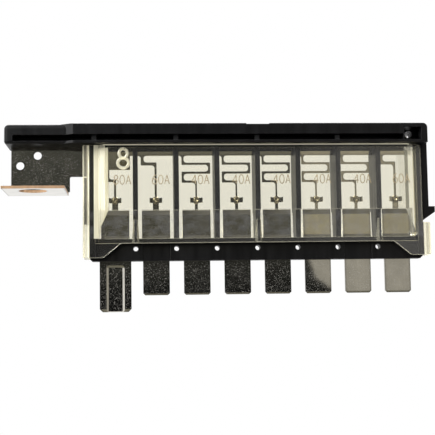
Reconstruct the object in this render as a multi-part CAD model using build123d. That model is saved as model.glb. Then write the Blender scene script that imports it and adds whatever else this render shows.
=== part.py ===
from build123d import *
import os

# A row of eight blade fuses for a vehicle's main fuse box: one tinned copper stamping
# that carries the bus, the fuse links, the blades and a folded stud tab, with a black
# housing moulded round it and a clear cover on each face. Sizes are in millimetres.
# The row is drawn with x = 0 at its middle, y = 0 in the middle of the sheet and z = 0
# at the blade tips, and the finished pieces are then moved so that the centre of the
# stud hole is the origin. The front of the row faces -Y.

# Driving sizes: the sheet metal
sheet = 0.8
cells = 8
pitch = 12.3
blade_width = 8.0
blade_free = 10.3
blade_chamfer = 0.6
blade_bevel = 0.5
main_blade_width = 9.5
main_blade_extra = 4.9
main_blade_chamfer = 0.9
main_blade_bevel = 0.9
bevel_depth = 0.2
channel_width = 5.4
channel_height = 14.0
channel_depth = 0.4
channel_slope = 0.6
channel_drop = 0.35
channel_corner = 0.8
pad_width = 8.5
pad_show = 9.1
bus_show = 1.8
bus_cover = 3.1
main_drop_height = 6.1
main_drop_width = 7.0
main_drop_offset = 1.05

# Driving sizes: the fuse links and their tin pellets
link_sheet = 0.45
leg_reach = 4.05
leg_width = 0.65
bar_spacing = 2.75
fine_width = 0.5
first_bar_drop = 2.5
main_first_bar_drop = 3.3
main_link_width = 0.75
heavy_width = 0.9
link_inner = 0.9
link_outer = 0.2
leg_flare = 0.8
claw_width = 3.8
claw_height = 1.5
claw_fold = 0.9
claw_above_pad = 2.8
pellet_width = 2.1
pellet_height = 2.5
pellet_depth = 1.7
pellet_corner = 0.6
pellet_bevel = 0.35
neck_width = 0.9
heavy_neck_width = 1.8

# Driving sizes: the left plate and the folded stud tab
plate_width = 17.6
plate_height = 9.1
plate_to_wall = 6.0
plate_fillet = 0.5
tab_width = 18.0
tab_reach = 18.0
tab_shift = -0.6
bend_radius = 0.4
stud_hole = 8.1
stud_edge = 6.0
stud_shift = -0.5
plate_drop = 14.5
pilot_hole = 2.4
pilot_level_a = 2.6
pilot_level_b = 5.7
pilot_shift_a = 0.28
pilot_shift_b = 5.53

# Driving sizes: the housing
end_wall = 1.75
end_wall_inset = 0.3
rib = 1.5
strip_height = 5.2
strip_half = 1.8
sill_height = 1.3
sill_half = 2.9
window_height = 27.45
bar_height = 0.95
wall_half = 3.7
rib_half = 5.2
rib_step = 1.4
rib_step_above_pad = -0.6
window_radius = 1.4
strip_corner = 0.7
vent_hole = 1.5
vent_above_strip = 3.7
recess_width = 8.5
recess_depth = 0.3
leg_inner = 4.05
leg_outer = 9.25
leg_rise = 0.9
leg_radius = 2.0

# Driving sizes: the rail along the top
rail_height = 5.9
rail_half = 8.4
rail_step = 1.3
rail_step_length = 2.05
rail_step_from_wall = 6.7
rail_left = 25.05
rail_right = 1.15
rail_corner = 1.4
rail_low_corner = 0.8
rail_end_radius = 1.0
rail_edge = 0.35
slot_height = 1.85
slot_above_bottom = 0.8
slot_left_wall = 2.5
slot_right_wall = 7.5
slot_core = 1.8
slot_rib_half = 5.0
pocket_width = 5.3
pocket_right_wall = 1.95
pocket_top_wall = 1.2
pocket_floor = 1.5
pocket_bore = 2.2
pocket_bore_left = 2.95
pocket_bore_up = 3.45
gate_width = 7.0
gate_depth = 0.3

# Driving sizes: the catch rib and the latch arm
catch_gap = 0.85
catch_thick = 0.85
catch_half = 1.0
catch_lift = 0.4
catch_height = 14.0
catch_bridge = 0.5
arm_gap = 0.35
arm_thick = 1.75
arm_half = 3.0
hook_reach = 1.9
hook_level = 26.1
hook_face = 1.7
hook_height = 4.2

# Driving sizes: the clear covers
cover_wall = 0.9
cover_clear = 0.1
flange = 0.8
dome_side = 3.0
ear_width = 1.95
ear_height = 9.9
ear_radius = 0.4
cover_corner = 1.6
cover_inset = 0.35
ear_groove = 0.6
gusset_height = 6.8
gusset_front = 0.9
gusset_back = 2.8

# Levels above the blade tips
strip_bottom = blade_free
sill_bottom = strip_bottom + strip_height
window_bottom = sill_bottom + sill_height
pad_top = window_bottom + pad_show
step_level = pad_top + rib_step_above_pad
window_top = window_bottom + window_height
rail_bottom = window_top + bar_height
rail_top = rail_bottom + rail_height
bus_bottom = window_top - bus_show
bus_top = rail_bottom + bus_cover
leg_level = strip_bottom + leg_rise
claw_level = pad_top + claw_above_pad

# Places along the row
row_half = cells * pitch / 2
wall_inner = row_half - end_wall_inset
wall_outer = wall_inner + end_wall
rail_x0 = -wall_outer - rail_left
rail_x1 = wall_outer + rail_right
cell_x = [(i + 0.5) * pitch - row_half for i in range(cells)]
rib_x = [i * pitch - row_half for i in range(1, cells)]
plate_x1 = -wall_outer - plate_to_wall
plate_x0 = plate_x1 - plate_width
tab_x = (plate_x0 + plate_x1) / 2 + tab_shift
ear_x = wall_outer + ear_width

# The stud hole, which is the origin of the finished part
tab_front = -sheet / 2 - tab_reach
tab_bottom = rail_bottom - plate_drop - sheet / 2
hole_x = tab_x + stud_shift
hole_y = tab_front + stud_edge
hole_z = tab_bottom + sheet / 2


def block(x0, x1, y0, y1, z0, z1):
    """Returns a box between two corners."""
    centre = Pos((x0 + x1) / 2, (y0 + y1) / 2, (z0 + z1) / 2)
    return centre * Box(x1 - x0, y1 - y0, z1 - z0)


def outline_face(points, radii=None):
    """Returns the flat face inside an outline, with a radius for each corner or none."""
    if radii is None:
        return make_face(Polyline(*points, close=True))
    return make_face(FilletPolyline(*points, radius=radii, close=True))


def front_prism(points, y0, y1, radii=None):
    """Returns an outline of x and z points, drawn on the front and pulled from y0 to y1."""
    face = Plane.XZ * outline_face(points, radii)
    return extrude(Pos(0, y0, 0) * face, amount=y1 - y0, dir=(0, 1, 0))


def side_prism(points, x0, x1):
    """Returns an outline of y and z points, drawn on the end and pulled from x0 to x1."""
    face = Plane.YZ * outline_face(points)
    return extrude(Pos(x0, 0, 0) * face, amount=x1 - x0, dir=(1, 0, 0))


def plan_prism(points, z0, z1, radii=None):
    """Returns an outline of x and y points, drawn in plan and pulled from z0 to z1."""
    face = outline_face(points, radii)
    return extrude(Pos(0, 0, z0) * face, amount=z1 - z0, dir=(0, 0, 1))


def bore_y(x, z, diameter, half):
    """Returns a cylinder along Y, to cut a hole through the row."""
    return Pos(x, 0, z) * Rot(90, 0, 0) * Cylinder(diameter / 2, 2 * half)


def corner_fill(x, z, side, rise, radius, half):
    """Returns the material that rounds an inside corner at x, z, which opens to side and rise."""
    x0, x1 = sorted((x, x + side * radius))
    z0, z1 = sorted((z, z + rise * radius))
    return block(x0, x1, -half, half, z0, z1) - bore_y(x + side * radius, z + rise * radius, 2 * radius, half)


# The stamping: blades, pads, bus and links

def blade(x, width, pad, extra, chamfer, bevel):
    """Returns one blade with its chamfered and bevelled tip and the pad that shows in its window."""
    half = width / 2
    outline = [(x - half + chamfer, -extra), (x + half - chamfer, -extra), (x + half, chamfer - extra),
               (x + half, strip_bottom), (x + pad / 2, sill_bottom), (x + pad / 2, pad_top),
               (x - pad / 2, pad_top), (x - pad / 2, sill_bottom), (x - half, strip_bottom),
               (x - half, chamfer - extra)]
    metal = front_prism(outline, -sheet / 2, sheet / 2)
    for side in (-1, 1):
        face = side * sheet / 2
        wedge = [(face, -extra), (face, bevel - extra), (face - side * bevel_depth, -extra)]
        metal -= side_prism(wedge, x - half, x + half)
    return metal


def link(points, widths):
    """Returns a link whose centre line turns at right angles, with rounded inner corners."""
    places = [Vector(x, z) for x, z in points]
    ahead = [(b - a).normalized() for a, b in zip(places, places[1:])]
    length = [(b - a).length for a, b in zip(places, places[1:])]
    spare = [0] + [width / 2 for width in widths] + [0]
    stretches = []
    for i, along in enumerate(ahead):
        side = Vector(along.Y, -along.X) * (widths[i] / 2)
        a = places[i] - along * spare[i] - side
        b = places[i + 1] + along * spare[i + 2] + side
        stretches.append(block(min(a.X, b.X), max(a.X, b.X), -link_sheet / 2, link_sheet / 2,
                               min(a.Y, b.Y), max(a.Y, b.Y)))
    ribbon = stretches[0].fuse(*stretches[1:])
    for i in range(len(ahead) - 1):
        inside = ahead[i + 1] * (widths[i] / 2) - ahead[i] * (widths[i + 1] / 2)
        wall = min(length[i], length[i + 1]) - leg_width
        for offset, radius in ((inside, min(link_inner, wall / 2)), (inside * -1, link_outer)):
            corner = places[i + 1] + offset
            bends = ribbon.edges().filter_by(Axis.Y).sort_by_distance((corner.X, 0, corner.Y))
            ribbon = fillet(bends[0], radius)
    return ribbon


def flares(x, top, width):
    """Returns the rounded corners where a leg of the given width leaves the metal above."""
    return [corner_fill(x + side * width / 2, top, side, -1, leg_flare, link_sheet / 2) for side in (-1, 1)]


def claw(x):
    """Returns the claw that grips the pellet: a cross strip with its ends folded forward."""
    half = claw_width / 2
    z0 = claw_level - claw_height / 2
    z1 = claw_level + claw_height / 2
    strip = block(x - half, x + half, -link_sheet / 2, link_sheet / 2, z0, z1)
    left = block(x - half, x - half + link_sheet, -link_sheet / 2 - claw_fold, link_sheet / 2, z0, z1)
    right = block(x + half - link_sheet, x + half, -link_sheet / 2 - claw_fold, link_sheet / 2, z0, z1)
    return strip.fuse(left, right)


def fine_link(x):
    """Returns the long folded link of the small ratings, from the bus down to the claw."""
    bars = [bus_bottom - first_bar_drop - i * bar_spacing for i in range(3)]
    route = [(x - leg_reach, bus_bottom), (x - leg_reach, bars[0]), (x + leg_reach, bars[0]),
             (x + leg_reach, bars[1]), (x - leg_reach, bars[1]), (x - leg_reach, bars[2]),
             (x, bars[2]), (x, claw_level)]
    widths = [leg_width] * (len(route) - 2) + [fine_width]
    return [link(route, widths)] + flares(x - leg_reach, bus_bottom, leg_width)


def short_link(x, top, first_drop, reach, width):
    """Returns the short link of the larger ratings: one leg, one bar and the drop."""
    bar = top - first_drop
    route = [(x - reach, top), (x - reach, bar), (x, bar), (x, claw_level)]
    return link(route, [width, width, leg_width])


def neck(x, width):
    """Returns the neck between the claw and the pad."""
    return block(x - width / 2, x + width / 2, -link_sheet / 2, link_sheet / 2, pad_top, claw_level)


main_x = cell_x[0]
heavy_cells = (cell_x[1], cell_x[-1])
main_drop_x0 = main_x + main_drop_offset - main_drop_width / 2
main_drop_bottom = window_top - main_drop_height
metal = [block(main_drop_x0, cell_x[-1] + pad_width / 2, -sheet / 2, sheet / 2, bus_bottom, bus_top)]
metal.append(block(main_drop_x0, main_drop_x0 + main_drop_width, -sheet / 2, sheet / 2,
                   main_drop_bottom, bus_bottom))
for x in cell_x[1:]:
    metal.append(blade(x, blade_width, pad_width, 0, blade_chamfer, blade_bevel))
metal.append(blade(main_x, main_blade_width, pad_width, main_blade_extra, main_blade_chamfer,
                   main_blade_bevel))
main_reach = main_x - main_drop_x0 - main_link_width / 2
metal.append(short_link(main_x, main_drop_bottom, main_first_bar_drop, main_reach, main_link_width))
metal.append(neck(main_x, heavy_neck_width))
for x in cell_x[1:]:
    if x in heavy_cells:
        metal.append(short_link(x, bus_bottom, first_bar_drop, leg_reach, heavy_width))
        metal.extend(flares(x - leg_reach, bus_bottom, heavy_width))
        metal.append(neck(x, heavy_neck_width))
    else:
        metal.extend(fine_link(x))
        metal.append(neck(x, neck_width))
for x in cell_x:
    metal.append(claw(x))

# The left plate, which runs out of the housing's end below the rail, and its folded tab
plate_bottom = rail_bottom - plate_height
left_plate = block(plate_x0, main_x, -sheet / 2, sheet / 2, bus_bottom + bus_show, bus_top)
left_plate += block(plate_x0, -wall_inner - end_wall / 2, -sheet / 2, sheet / 2, plate_bottom, bus_top)
left_plate += block(plate_x0, plate_x1, -sheet / 2, sheet / 2, tab_bottom + sheet + bend_radius, plate_bottom)
left_plate += corner_fill(plate_x1, plate_bottom, 1, -1, plate_fillet, sheet / 2)

outer_bend = bend_radius + sheet
tab_x0 = tab_x - tab_width / 2
tab_x1 = tab_x + tab_width / 2
bend_centre = Pos(tab_x, -sheet / 2 - bend_radius, tab_bottom + outer_bend)
ring = Rot(0, 90, 0) * (Cylinder(outer_bend, tab_width) - Cylinder(bend_radius, tab_width))
quarter = block(tab_x0, tab_x1, -sheet / 2 - bend_radius, sheet / 2, tab_bottom, tab_bottom + outer_bend)
bend = (bend_centre * ring) & quarter
tab = block(tab_x0, tab_x1, tab_front, -sheet / 2 - bend_radius, tab_bottom, tab_bottom + sheet)
tab -= Pos(hole_x, hole_y, hole_z) * Cylinder(stud_hole / 2, 2 * sheet)
pilots = [bore_y(tab_x - pilot_shift_a, rail_bottom - pilot_level_a, pilot_hole, sheet),
          bore_y(tab_x - pilot_shift_b, rail_bottom - pilot_level_b, pilot_hole, sheet)]
metal.extend([left_plate, bend, tab])
fuse_plate = metal[0].fuse(*metal[1:])
fuse_plate = fuse_plate.cut(*pilots)

# The stiffening channel pressed into the main blade, a groove in front and a rib behind
channel_x0 = main_x - channel_width / 2
channel_x1 = main_x + channel_width / 2
channel_top = channel_height - main_blade_extra
groove = block(channel_x0, channel_x1, -sheet / 2, channel_depth - sheet / 2,
               -main_blade_extra - channel_depth, channel_top)
groove = fillet(groove.edges().filter_by(Axis.Y).group_by(Axis.Z)[-1], channel_corner)
groove_floor = groove.faces().sort_by(Axis.Y)[-1]
groove = chamfer(groove_floor.edges(), channel_slope, channel_drop, reference=groove_floor)
behind = block(channel_x0, channel_x1, 0, 2 * sheet, -main_blade_extra, channel_top)
swage = (Pos(0, sheet, 0) * groove) & behind
fuse_plate = fuse_plate.cut(groove).fuse(swage)

# The tin pellets, cast on the links inside the claws


def pellet(x):
    """Returns a tin pellet with bevelled ends, cast round its link and claw."""
    body = Pos(x, 0, claw_level) * Box(pellet_width, pellet_depth, pellet_height)
    body = chamfer(body.edges().filter_by(Axis.Y), pellet_corner)
    body = chamfer(body.faces().sort_by(Axis.Y)[0].edges(), pellet_bevel)
    return body.cut(fuse_plate)


# The housing

def rib_profile():
    """Returns the section of a rib: deep beside the links, stepped back beside the pads."""
    low = rib_half - rib_step
    return [(-wall_half, rail_bottom), (-wall_half, window_top), (-rib_half, window_top),
            (-rib_half, step_level), (-low, step_level), (-sill_half, window_bottom),
            (-sill_half, sill_bottom), (sill_half, sill_bottom), (sill_half, window_bottom),
            (low, step_level), (rib_half, step_level), (rib_half, window_top),
            (wall_half, window_top), (wall_half, rail_bottom)]


rail_plan = [(rail_x0, -rail_half + rail_step),
             (-wall_outer - rail_step_from_wall, -rail_half + rail_step),
             (-wall_outer - rail_step_from_wall + rail_step_length, -rail_half),
             (rail_x1, -rail_half), (rail_x1, rail_half),
             (-wall_outer - rail_step_from_wall + rail_step_length, rail_half),
             (-wall_outer - rail_step_from_wall, rail_half - rail_step),
             (rail_x0, rail_half - rail_step)]
rail_radii = [rail_end_radius] + [0] * (len(rail_plan) - 2) + [rail_end_radius]
rail = plan_prism(rail_plan, rail_bottom, rail_top, rail_radii)
across = rail.edges().filter_by(Axis.Y)
rail = fillet(across.group_by(Axis.Z)[-1], rail_corner)
low_end = rail.edges().filter_by(Axis.Y).group_by(Axis.Z)[0].sort_by(Axis.X)[0]
rail = fillet(low_end, rail_low_corner)
top_rim = rail.faces().sort_by(Axis.Z)[-1].edges().filter_by(Axis.X)
rail = fillet(top_rim, rail_edge)
gate = block(-gate_width / 2, gate_width / 2, -rail_half, rail_half, rail_top - gate_depth, rail_top)
slot_x0 = rail_x0 + slot_left_wall
slot_x1 = rail_x1 - slot_right_wall
slot_z0 = rail_bottom + slot_above_bottom
slot_z1 = slot_z0 + slot_height
pocket_x1 = rail_x1 - pocket_right_wall
pocket_x0 = pocket_x1 - pocket_width
pocket_z1 = rail_top - pocket_top_wall
bore_x = pocket_x0 + pocket_bore_left
bore_z = rail_bottom + pocket_bore_up
slot_rib_x = [i * pitch - row_half for i in range(0, cells, 2)]
rail_cuts = [gate]
for side in (-1, 1):
    y0, y1 = sorted((side * slot_core, side * rail_half))
    slot = block(slot_x0, slot_x1, y0, y1, slot_z0, slot_z1)
    w0, w1 = sorted((side * slot_core, side * slot_rib_half))
    for x in slot_rib_x:
        slot -= block(x - rib / 2, x + rib / 2, w0, w1, slot_z0, slot_z1)
    p0, p1 = sorted((side * pocket_floor, side * rail_half))
    rail_cuts.append(slot)
    rail_cuts.append(block(pocket_x0, pocket_x1, p0, p1, slot_z0, pocket_z1))
rail_cuts.append(bore_y(bore_x, bore_z, pocket_bore, rail_half))
rail = rail.cut(*rail_cuts)

body = [rail]
for x in rib_x:
    body.append(side_prism(rib_profile(), x - rib / 2, x + rib / 2))
body.append(block(-wall_outer, wall_outer, -wall_half, wall_half, window_top, rail_bottom))
body.append(block(-wall_outer, -wall_inner, -wall_half, wall_half, leg_level, window_top))
body.append(block(wall_inner, wall_outer, -wall_half, wall_half, leg_level, window_top))
body.append(block(-wall_inner, wall_inner, -sill_half, sill_half, sill_bottom, window_bottom))
strip = block(-wall_outer, wall_outer, -strip_half, strip_half, strip_bottom, sill_bottom)
strip = chamfer(strip.edges().filter_by(Axis.Y).group_by(Axis.Z)[0], strip_corner)
for x in rib_x:
    strip -= bore_y(x, strip_bottom + vent_above_strip, vent_hole, strip_half)
for x in (cell_x[1], cell_x[-2]):
    for side in (-1, 1):
        y0, y1 = sorted((side * (strip_half - recess_depth), side * strip_half))
        strip -= block(x - recess_width / 2, x + recess_width / 2, y0, y1, strip_bottom, sill_bottom)
body.append(strip)

# The black corner legs behind the cover's legs
for side in (-1, 1):
    corner = [(side * (wall_outer - leg_outer), sill_bottom), (side * (wall_outer - leg_inner), leg_level),
              (side * wall_outer, leg_level), (side * wall_outer, window_bottom),
              (side * (wall_outer - leg_outer), window_bottom)]
    body.append(front_prism(corner, -sill_half, sill_half, [0, leg_radius, 0, 0, 0]))
    body.append(corner_fill(side * wall_inner, window_bottom, -side, 1, window_radius, sill_half))

# The catch rib on the left end, a thin bar on two bridges, and the latch arm on the right end
catch_z0 = leg_level + ear_height + catch_lift
catch_z1 = catch_z0 + catch_height
catch_x1 = -wall_outer - catch_gap
body.append(block(catch_x1 - catch_thick, catch_x1, -catch_half, catch_half, catch_z0, catch_z1))
for z in (catch_z0, catch_z1 - catch_bridge):
    body.append(block(catch_x1, -wall_outer, -catch_half, catch_half, z, z + catch_bridge))
arm_x0 = wall_outer + arm_gap
arm_x1 = arm_x0 + arm_thick
arm_outline = [(arm_x0, rail_bottom + slot_above_bottom), (arm_x0, hook_level - hook_height),
               (arm_x1 + hook_reach, hook_level - hook_face), (arm_x1 + hook_reach, hook_level),
               (arm_x1, hook_level), (arm_x1, rail_bottom + slot_above_bottom)]
body.append(front_prism(arm_outline, -arm_half, arm_half))
housing = body[0].fuse(*body[1:])
housing = housing.cut(fuse_plate)

# The clear covers

def shell_profile(grow, top):
    """Returns the section of the cover's domed face, which slopes in below the step, grown by grow."""
    high = rib_half + cover_clear + grow
    foot = sill_half + cover_clear + grow
    return [(0, top), (-high, top), (-high, step_level - cover_clear), (-foot, sill_bottom), (0, sill_bottom)]


def shell_plan(shrink, front):
    """Returns the cover's domed face in plan: a flat with sloped ends."""
    half = wall_inner - shrink
    back = wall_half + cover_clear
    return [(-half, 0), (-half, -back), (-half + dome_side, -front), (half - dome_side, -front),
            (half, -back), (half, 0)]


def dome(grow, shrink, top):
    """Returns the solid under the domed face."""
    front = rib_half + cover_clear + grow
    face = side_prism(shell_profile(grow, top), -wall_inner, wall_inner)
    return face & plan_prism(shell_plan(shrink, front), sill_bottom, top)


cover_top = rail_bottom - cover_clear
flange_y0 = -wall_half - cover_clear - flange
flange_y1 = -wall_half - cover_clear
ear_top = leg_level + ear_height
flange_outline = [(-ear_x, leg_level), (-wall_outer + leg_inner, leg_level),
                  (-wall_outer + leg_outer, sill_bottom), (wall_outer - leg_outer, sill_bottom),
                  (wall_outer - leg_inner, leg_level), (ear_x, leg_level),
                  (ear_x, ear_top), (wall_outer - cover_inset, ear_top),
                  (wall_outer - cover_inset, cover_top), (-ear_x, cover_top)]
flange_radii = [ear_radius] + [leg_radius] * 4 + [ear_radius, ear_radius, 0, cover_corner, ear_radius]
dome_hole = block(-wall_inner + dome_side, wall_inner - dome_side, 2 * flange_y0, 0,
                  window_bottom, cover_top)
front_cover = front_prism(flange_outline, flange_y0, flange_y1, flange_radii) - dome_hole

# The gussets on the sloped part of the domed face, at every third rib, which narrow to the front
dome_front = rib_half + cover_clear + cover_wall
gusset_top = sill_bottom + gusset_height
gussets = []
for x in rib_x[::3]:
    gusset_plan = [(x - gusset_front / 2, -dome_front), (x + gusset_front / 2, -dome_front),
                   (x + gusset_back / 2, -sill_half), (x - gusset_back / 2, -sill_half)]
    gussets.append(plan_prism(gusset_plan, sill_bottom, gusset_top))
front_cover = front_cover.fuse(dome(cover_wall, 0, cover_top), *gussets)
front_cover -= dome(0, cover_wall, cover_top - cover_wall)
ears = [block(-ear_x, -wall_outer - cover_clear, flange_y1, -cover_clear, leg_level, ear_top),
        block(-ear_x, -wall_outer - cover_clear, flange_y1, -catch_half - cover_clear, ear_top, cover_top),
        block(wall_outer + cover_clear, ear_x, flange_y1, -cover_clear, leg_level, ear_top)]
front_cover = front_cover.fuse(*ears)

# The groove along the left ear, beside the housing's end wall
groove_x = -wall_outer - cover_clear
ear_cut = [(groove_x - ear_groove, flange_y0), (groove_x, flange_y0),
           (groove_x - ear_groove / 2, flange_y0 + ear_groove)]
front_cover -= plan_prism(ear_cut, ear_top, cover_top)
front_cover = front_cover.cut(housing).cut(fuse_plate)
rear_cover = mirror(front_cover, about=Plane.XZ)
rear_cover = rear_cover.cut(housing).cut(fuse_plate)

# The finished pieces, moved so that the stud hole's centre is the origin
to_origin = Pos(-hole_x, -hole_y, -hole_z)
nodes = {"housing": housing, "fuse_plate": fuse_plate,
         "front_cover": front_cover, "rear_cover": rear_cover}
for number, x in enumerate(cell_x, start=1):
    nodes["tin_pellet_%d" % number] = pellet(x)

os.makedirs("parts", exist_ok=True)
for name, shape in nodes.items():
    placed = to_origin * shape
    export_step(placed, "parts/%s.step" % name)
    size = placed.bounding_box()
    print(name, len(placed.solids()), round(placed.volume, 1), size.min, size.max)
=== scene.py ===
import math

import bpy
import numpy as np
from bpy.props import FloatProperty, FloatVectorProperty, PointerProperty
from mathutils import Matrix, Vector


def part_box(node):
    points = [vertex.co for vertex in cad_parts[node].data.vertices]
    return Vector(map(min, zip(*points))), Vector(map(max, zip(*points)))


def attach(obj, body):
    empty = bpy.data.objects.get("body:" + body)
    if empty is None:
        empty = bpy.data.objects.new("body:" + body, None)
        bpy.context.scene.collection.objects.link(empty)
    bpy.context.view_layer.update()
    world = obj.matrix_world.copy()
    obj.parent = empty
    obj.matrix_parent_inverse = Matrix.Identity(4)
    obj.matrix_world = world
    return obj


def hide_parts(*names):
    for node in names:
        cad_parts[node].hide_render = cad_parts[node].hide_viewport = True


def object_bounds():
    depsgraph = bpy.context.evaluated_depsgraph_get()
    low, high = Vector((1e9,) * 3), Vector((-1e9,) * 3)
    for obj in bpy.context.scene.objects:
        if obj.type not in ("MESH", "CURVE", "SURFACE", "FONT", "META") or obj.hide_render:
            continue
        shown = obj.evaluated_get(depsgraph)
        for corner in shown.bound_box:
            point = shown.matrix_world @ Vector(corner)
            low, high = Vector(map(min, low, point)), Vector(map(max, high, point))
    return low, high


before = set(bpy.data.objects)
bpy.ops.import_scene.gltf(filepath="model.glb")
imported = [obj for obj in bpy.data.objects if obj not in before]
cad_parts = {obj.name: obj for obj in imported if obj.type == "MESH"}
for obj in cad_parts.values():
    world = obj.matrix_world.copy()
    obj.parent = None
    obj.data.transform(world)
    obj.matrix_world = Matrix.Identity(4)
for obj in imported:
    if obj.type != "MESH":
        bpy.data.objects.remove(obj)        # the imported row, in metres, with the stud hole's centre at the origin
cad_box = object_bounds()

bl_info = {
    "name": "Fuse row finish",
    "version": (1, 0, 0),
    "blender": (4, 5, 0),
    "location": "3D View > Sidebar > Fuse row",
    "description": "Dresses a row of blade fuses: housing, tinned stamping, clear covers and tin pellets",
    "category": "Object",
}

MM = 0.001
CELLS = 8
IMAGE_PIXELS = 435
SENSOR = 36 * MM                            # the width that the camera's lens is worked out for

# Where the stamping's looks change, in the row's frame
PAD_BAND = (-14.0 * MM, -4.0 * MM)          # heights that the pads' painted reflection bands run between
CHANNEL_SIDES = (3.4 * MM, 3.8 * MM)        # from the channel's middle to just outside its lines
TAB_REACH = 11.5 * MM                       # the folded tab lies in front of this
TAB_BAND = 0.5 * MM                         # and within this of the sheet's middle

# Where the clear covers' painted glow and haze change, from the sides of a cover's own box
EAR_WIDTH = 2.0 * MM                        # in from each end
FOOT_BAND = (3.0 * MM, 5.0 * MM)            # in from the left end
SILL_TOP = (5.6 * MM, 5.8 * MM)             # up from the bottom
TOP_STRIP = (0.35 * MM, 0.30 * MM)          # down from the top
OUTER_FACE = (0.6 * MM, 0.5 * MM)           # in from the outermost face
KINK_LINE = (0.08 * MM, 0.16 * MM)          # either side of the bend across the domed face
RIM_WIDTH = 0.4 * MM
GUSSET_TOP = 5.5 * MM
ROW_MIDDLE = 50 * MM                        # the domed face's left end lies left of this, in the row's frame

# The rail's places with a painted highlight, in the row's frame
RAIL_FOOT = 14.6 * MM
RIB_FRONT = 7.4 * MM
BORE_CENTRE = (114.05 * MM, 17.95 * MM)
BORE_RADIUS = 1.15 * MM

# Lamps round the row: name, place from the row's middle, size and power
LAMPS = (
    ("key_lamp", (-0.28, -0.24, 0.22), 0.25, 2.2),
    ("fill_lamp", (0.55, -0.35, 0.30), 0.45, 1.0),
    ("back_lamp", (0.10, 0.60, 0.45), 0.50, 5.0),
)

FLOOR_REACH = 1500 * MM

# The cards that show in the metal, in the row's frame where nothing else is said
CARD_LEFT, PLATE_CARD_RIGHT, CARD_RIGHT = -600 * MM, -4 * MM, 800 * MM
CARD_TOP = 450 * MM
CARD_GAP = 30 * MM                          # how far the tall cards stand behind the camera
MEETING_BAND = (-45 * MM, 20 * MM)          # heights between which the meeting line is finely divided
LOW_CARD_TOP = 190 * MM                     # up from the floor
LOW_CARD_LIFT = 4 * MM                      # up from the floor
LOW_CARD_FRONT = -100 * MM
LOW_CARD_GAP = 2 * MM                       # before the tall cards
CARD_BAND = (-30 * MM, 90 * MM)             # heights that the cards' stops run between
PLATE_STOPS = ((0.08, "#161717"), (0.5, "#3F403B"), (0.72, "#444540"), (0.85, "#4E4F4A"))
DARK_STOPS = ((0.08, "#161717"), (0.5, "#444540"), (0.72, "#50504B"), (0.85, "#7C7C75"))
GREY_STOPS = ((0.0, "#B0ADA4"), (1.0, "#B0ADA4"))
LOW_STOPS = ((0.0, "#7F7D70"), (1.0, "#7F7D70"))

# Where the dark card meets the grey one, as height and X in metres, from low to high
MEETING = ((-0.3, 0.5), (-0.030, 0.190), (-0.0177, 0.1534), (-0.0151, 0.1495), (-0.0123, 0.1466),
           (-0.0104, 0.1421), (-0.0059, 0.1407), (0.0024, 0.1378), (0.0080, 0.1360), (0.07, 0.128))

STROKE_POINTS = 49
STROKE_SIDES = 10

# Each cell's rating in amperes and where it starts along the row, in millimetres
RATINGS = (("80A", 23.2), ("60A", 34.7), ("40A", 46.6), ("40A", 58.9), ("40A", 71.2), ("40A", 83.5),
           ("40A", 95.8), ("60A", 107.7))


# Colours and nodes

def linear(code):
    """Turns an sRGB hex colour into linear red, green, blue and an alpha of 1."""
    parts = [int(code[i:i + 2], 16) / 255 for i in (1, 3, 5)]
    return tuple(c / 12.92 if c <= 0.04045 else ((c + 0.055) / 1.055) ** 2.4 for c in parts) + (1.0,)


def darker(colour, share):
    """Returns a colour with its red, green and blue at the given share."""
    return tuple(share * c for c in colour[:3]) + (1.0,)


def grey(value):
    """Returns a neutral colour of the given linear value."""
    return (value, value, value, 1.0)


def add(tree, kind, inputs=None, stops=None, **settings):
    """Adds a node, makes its own settings, fills or links its inputs and sets a ramp's stops. A node that
    is given as an input is linked by the first of its outputs in use."""
    made = tree.nodes.new(kind)
    for name, value in settings.items():
        setattr(made, name, value)
    for name, value in (inputs or {}).items():
        if isinstance(value, bpy.types.Node):
            value = next(output for output in value.outputs if output.enabled)
        if isinstance(value, bpy.types.NodeSocket):
            tree.links.new(value, made.inputs[name])
        else:
            made.inputs[name].default_value = value
    for i, (place, colour) in enumerate(stops or []):
        stop = made.color_ramp.elements[i] if i < 2 else made.color_ramp.elements.new(place)
        stop.position = place
        stop.color = colour
    return made


def blank_material(name):
    """Returns a new material and its empty node tree."""
    material = bpy.data.materials.new(name)
    material.use_nodes = True
    material.node_tree.nodes.clear()
    return material, material.node_tree


def rounded_edges(tree, radius):
    """Returns a node that rounds the edges for the light alone, and one that says how far it turns a face:
    1 away from the edges and less near one."""
    rounded = add(tree, "ShaderNodeBevel", {"Radius": radius}, samples=6)
    flat = add(tree, "ShaderNodeNewGeometry").outputs["Normal"]
    return rounded, add(tree, "ShaderNodeVectorMath", {0: rounded, 1: flat}, operation="DOT_PRODUCT")


def distance_from(tree, value, level):
    """Returns how far a value lies from a level, on either side of it."""
    gap = add(tree, "ShaderNodeMath", {0: value, 1: level}, operation="SUBTRACT")
    return add(tree, "ShaderNodeMath", {0: gap}, operation="ABSOLUTE")


# Materials

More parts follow.
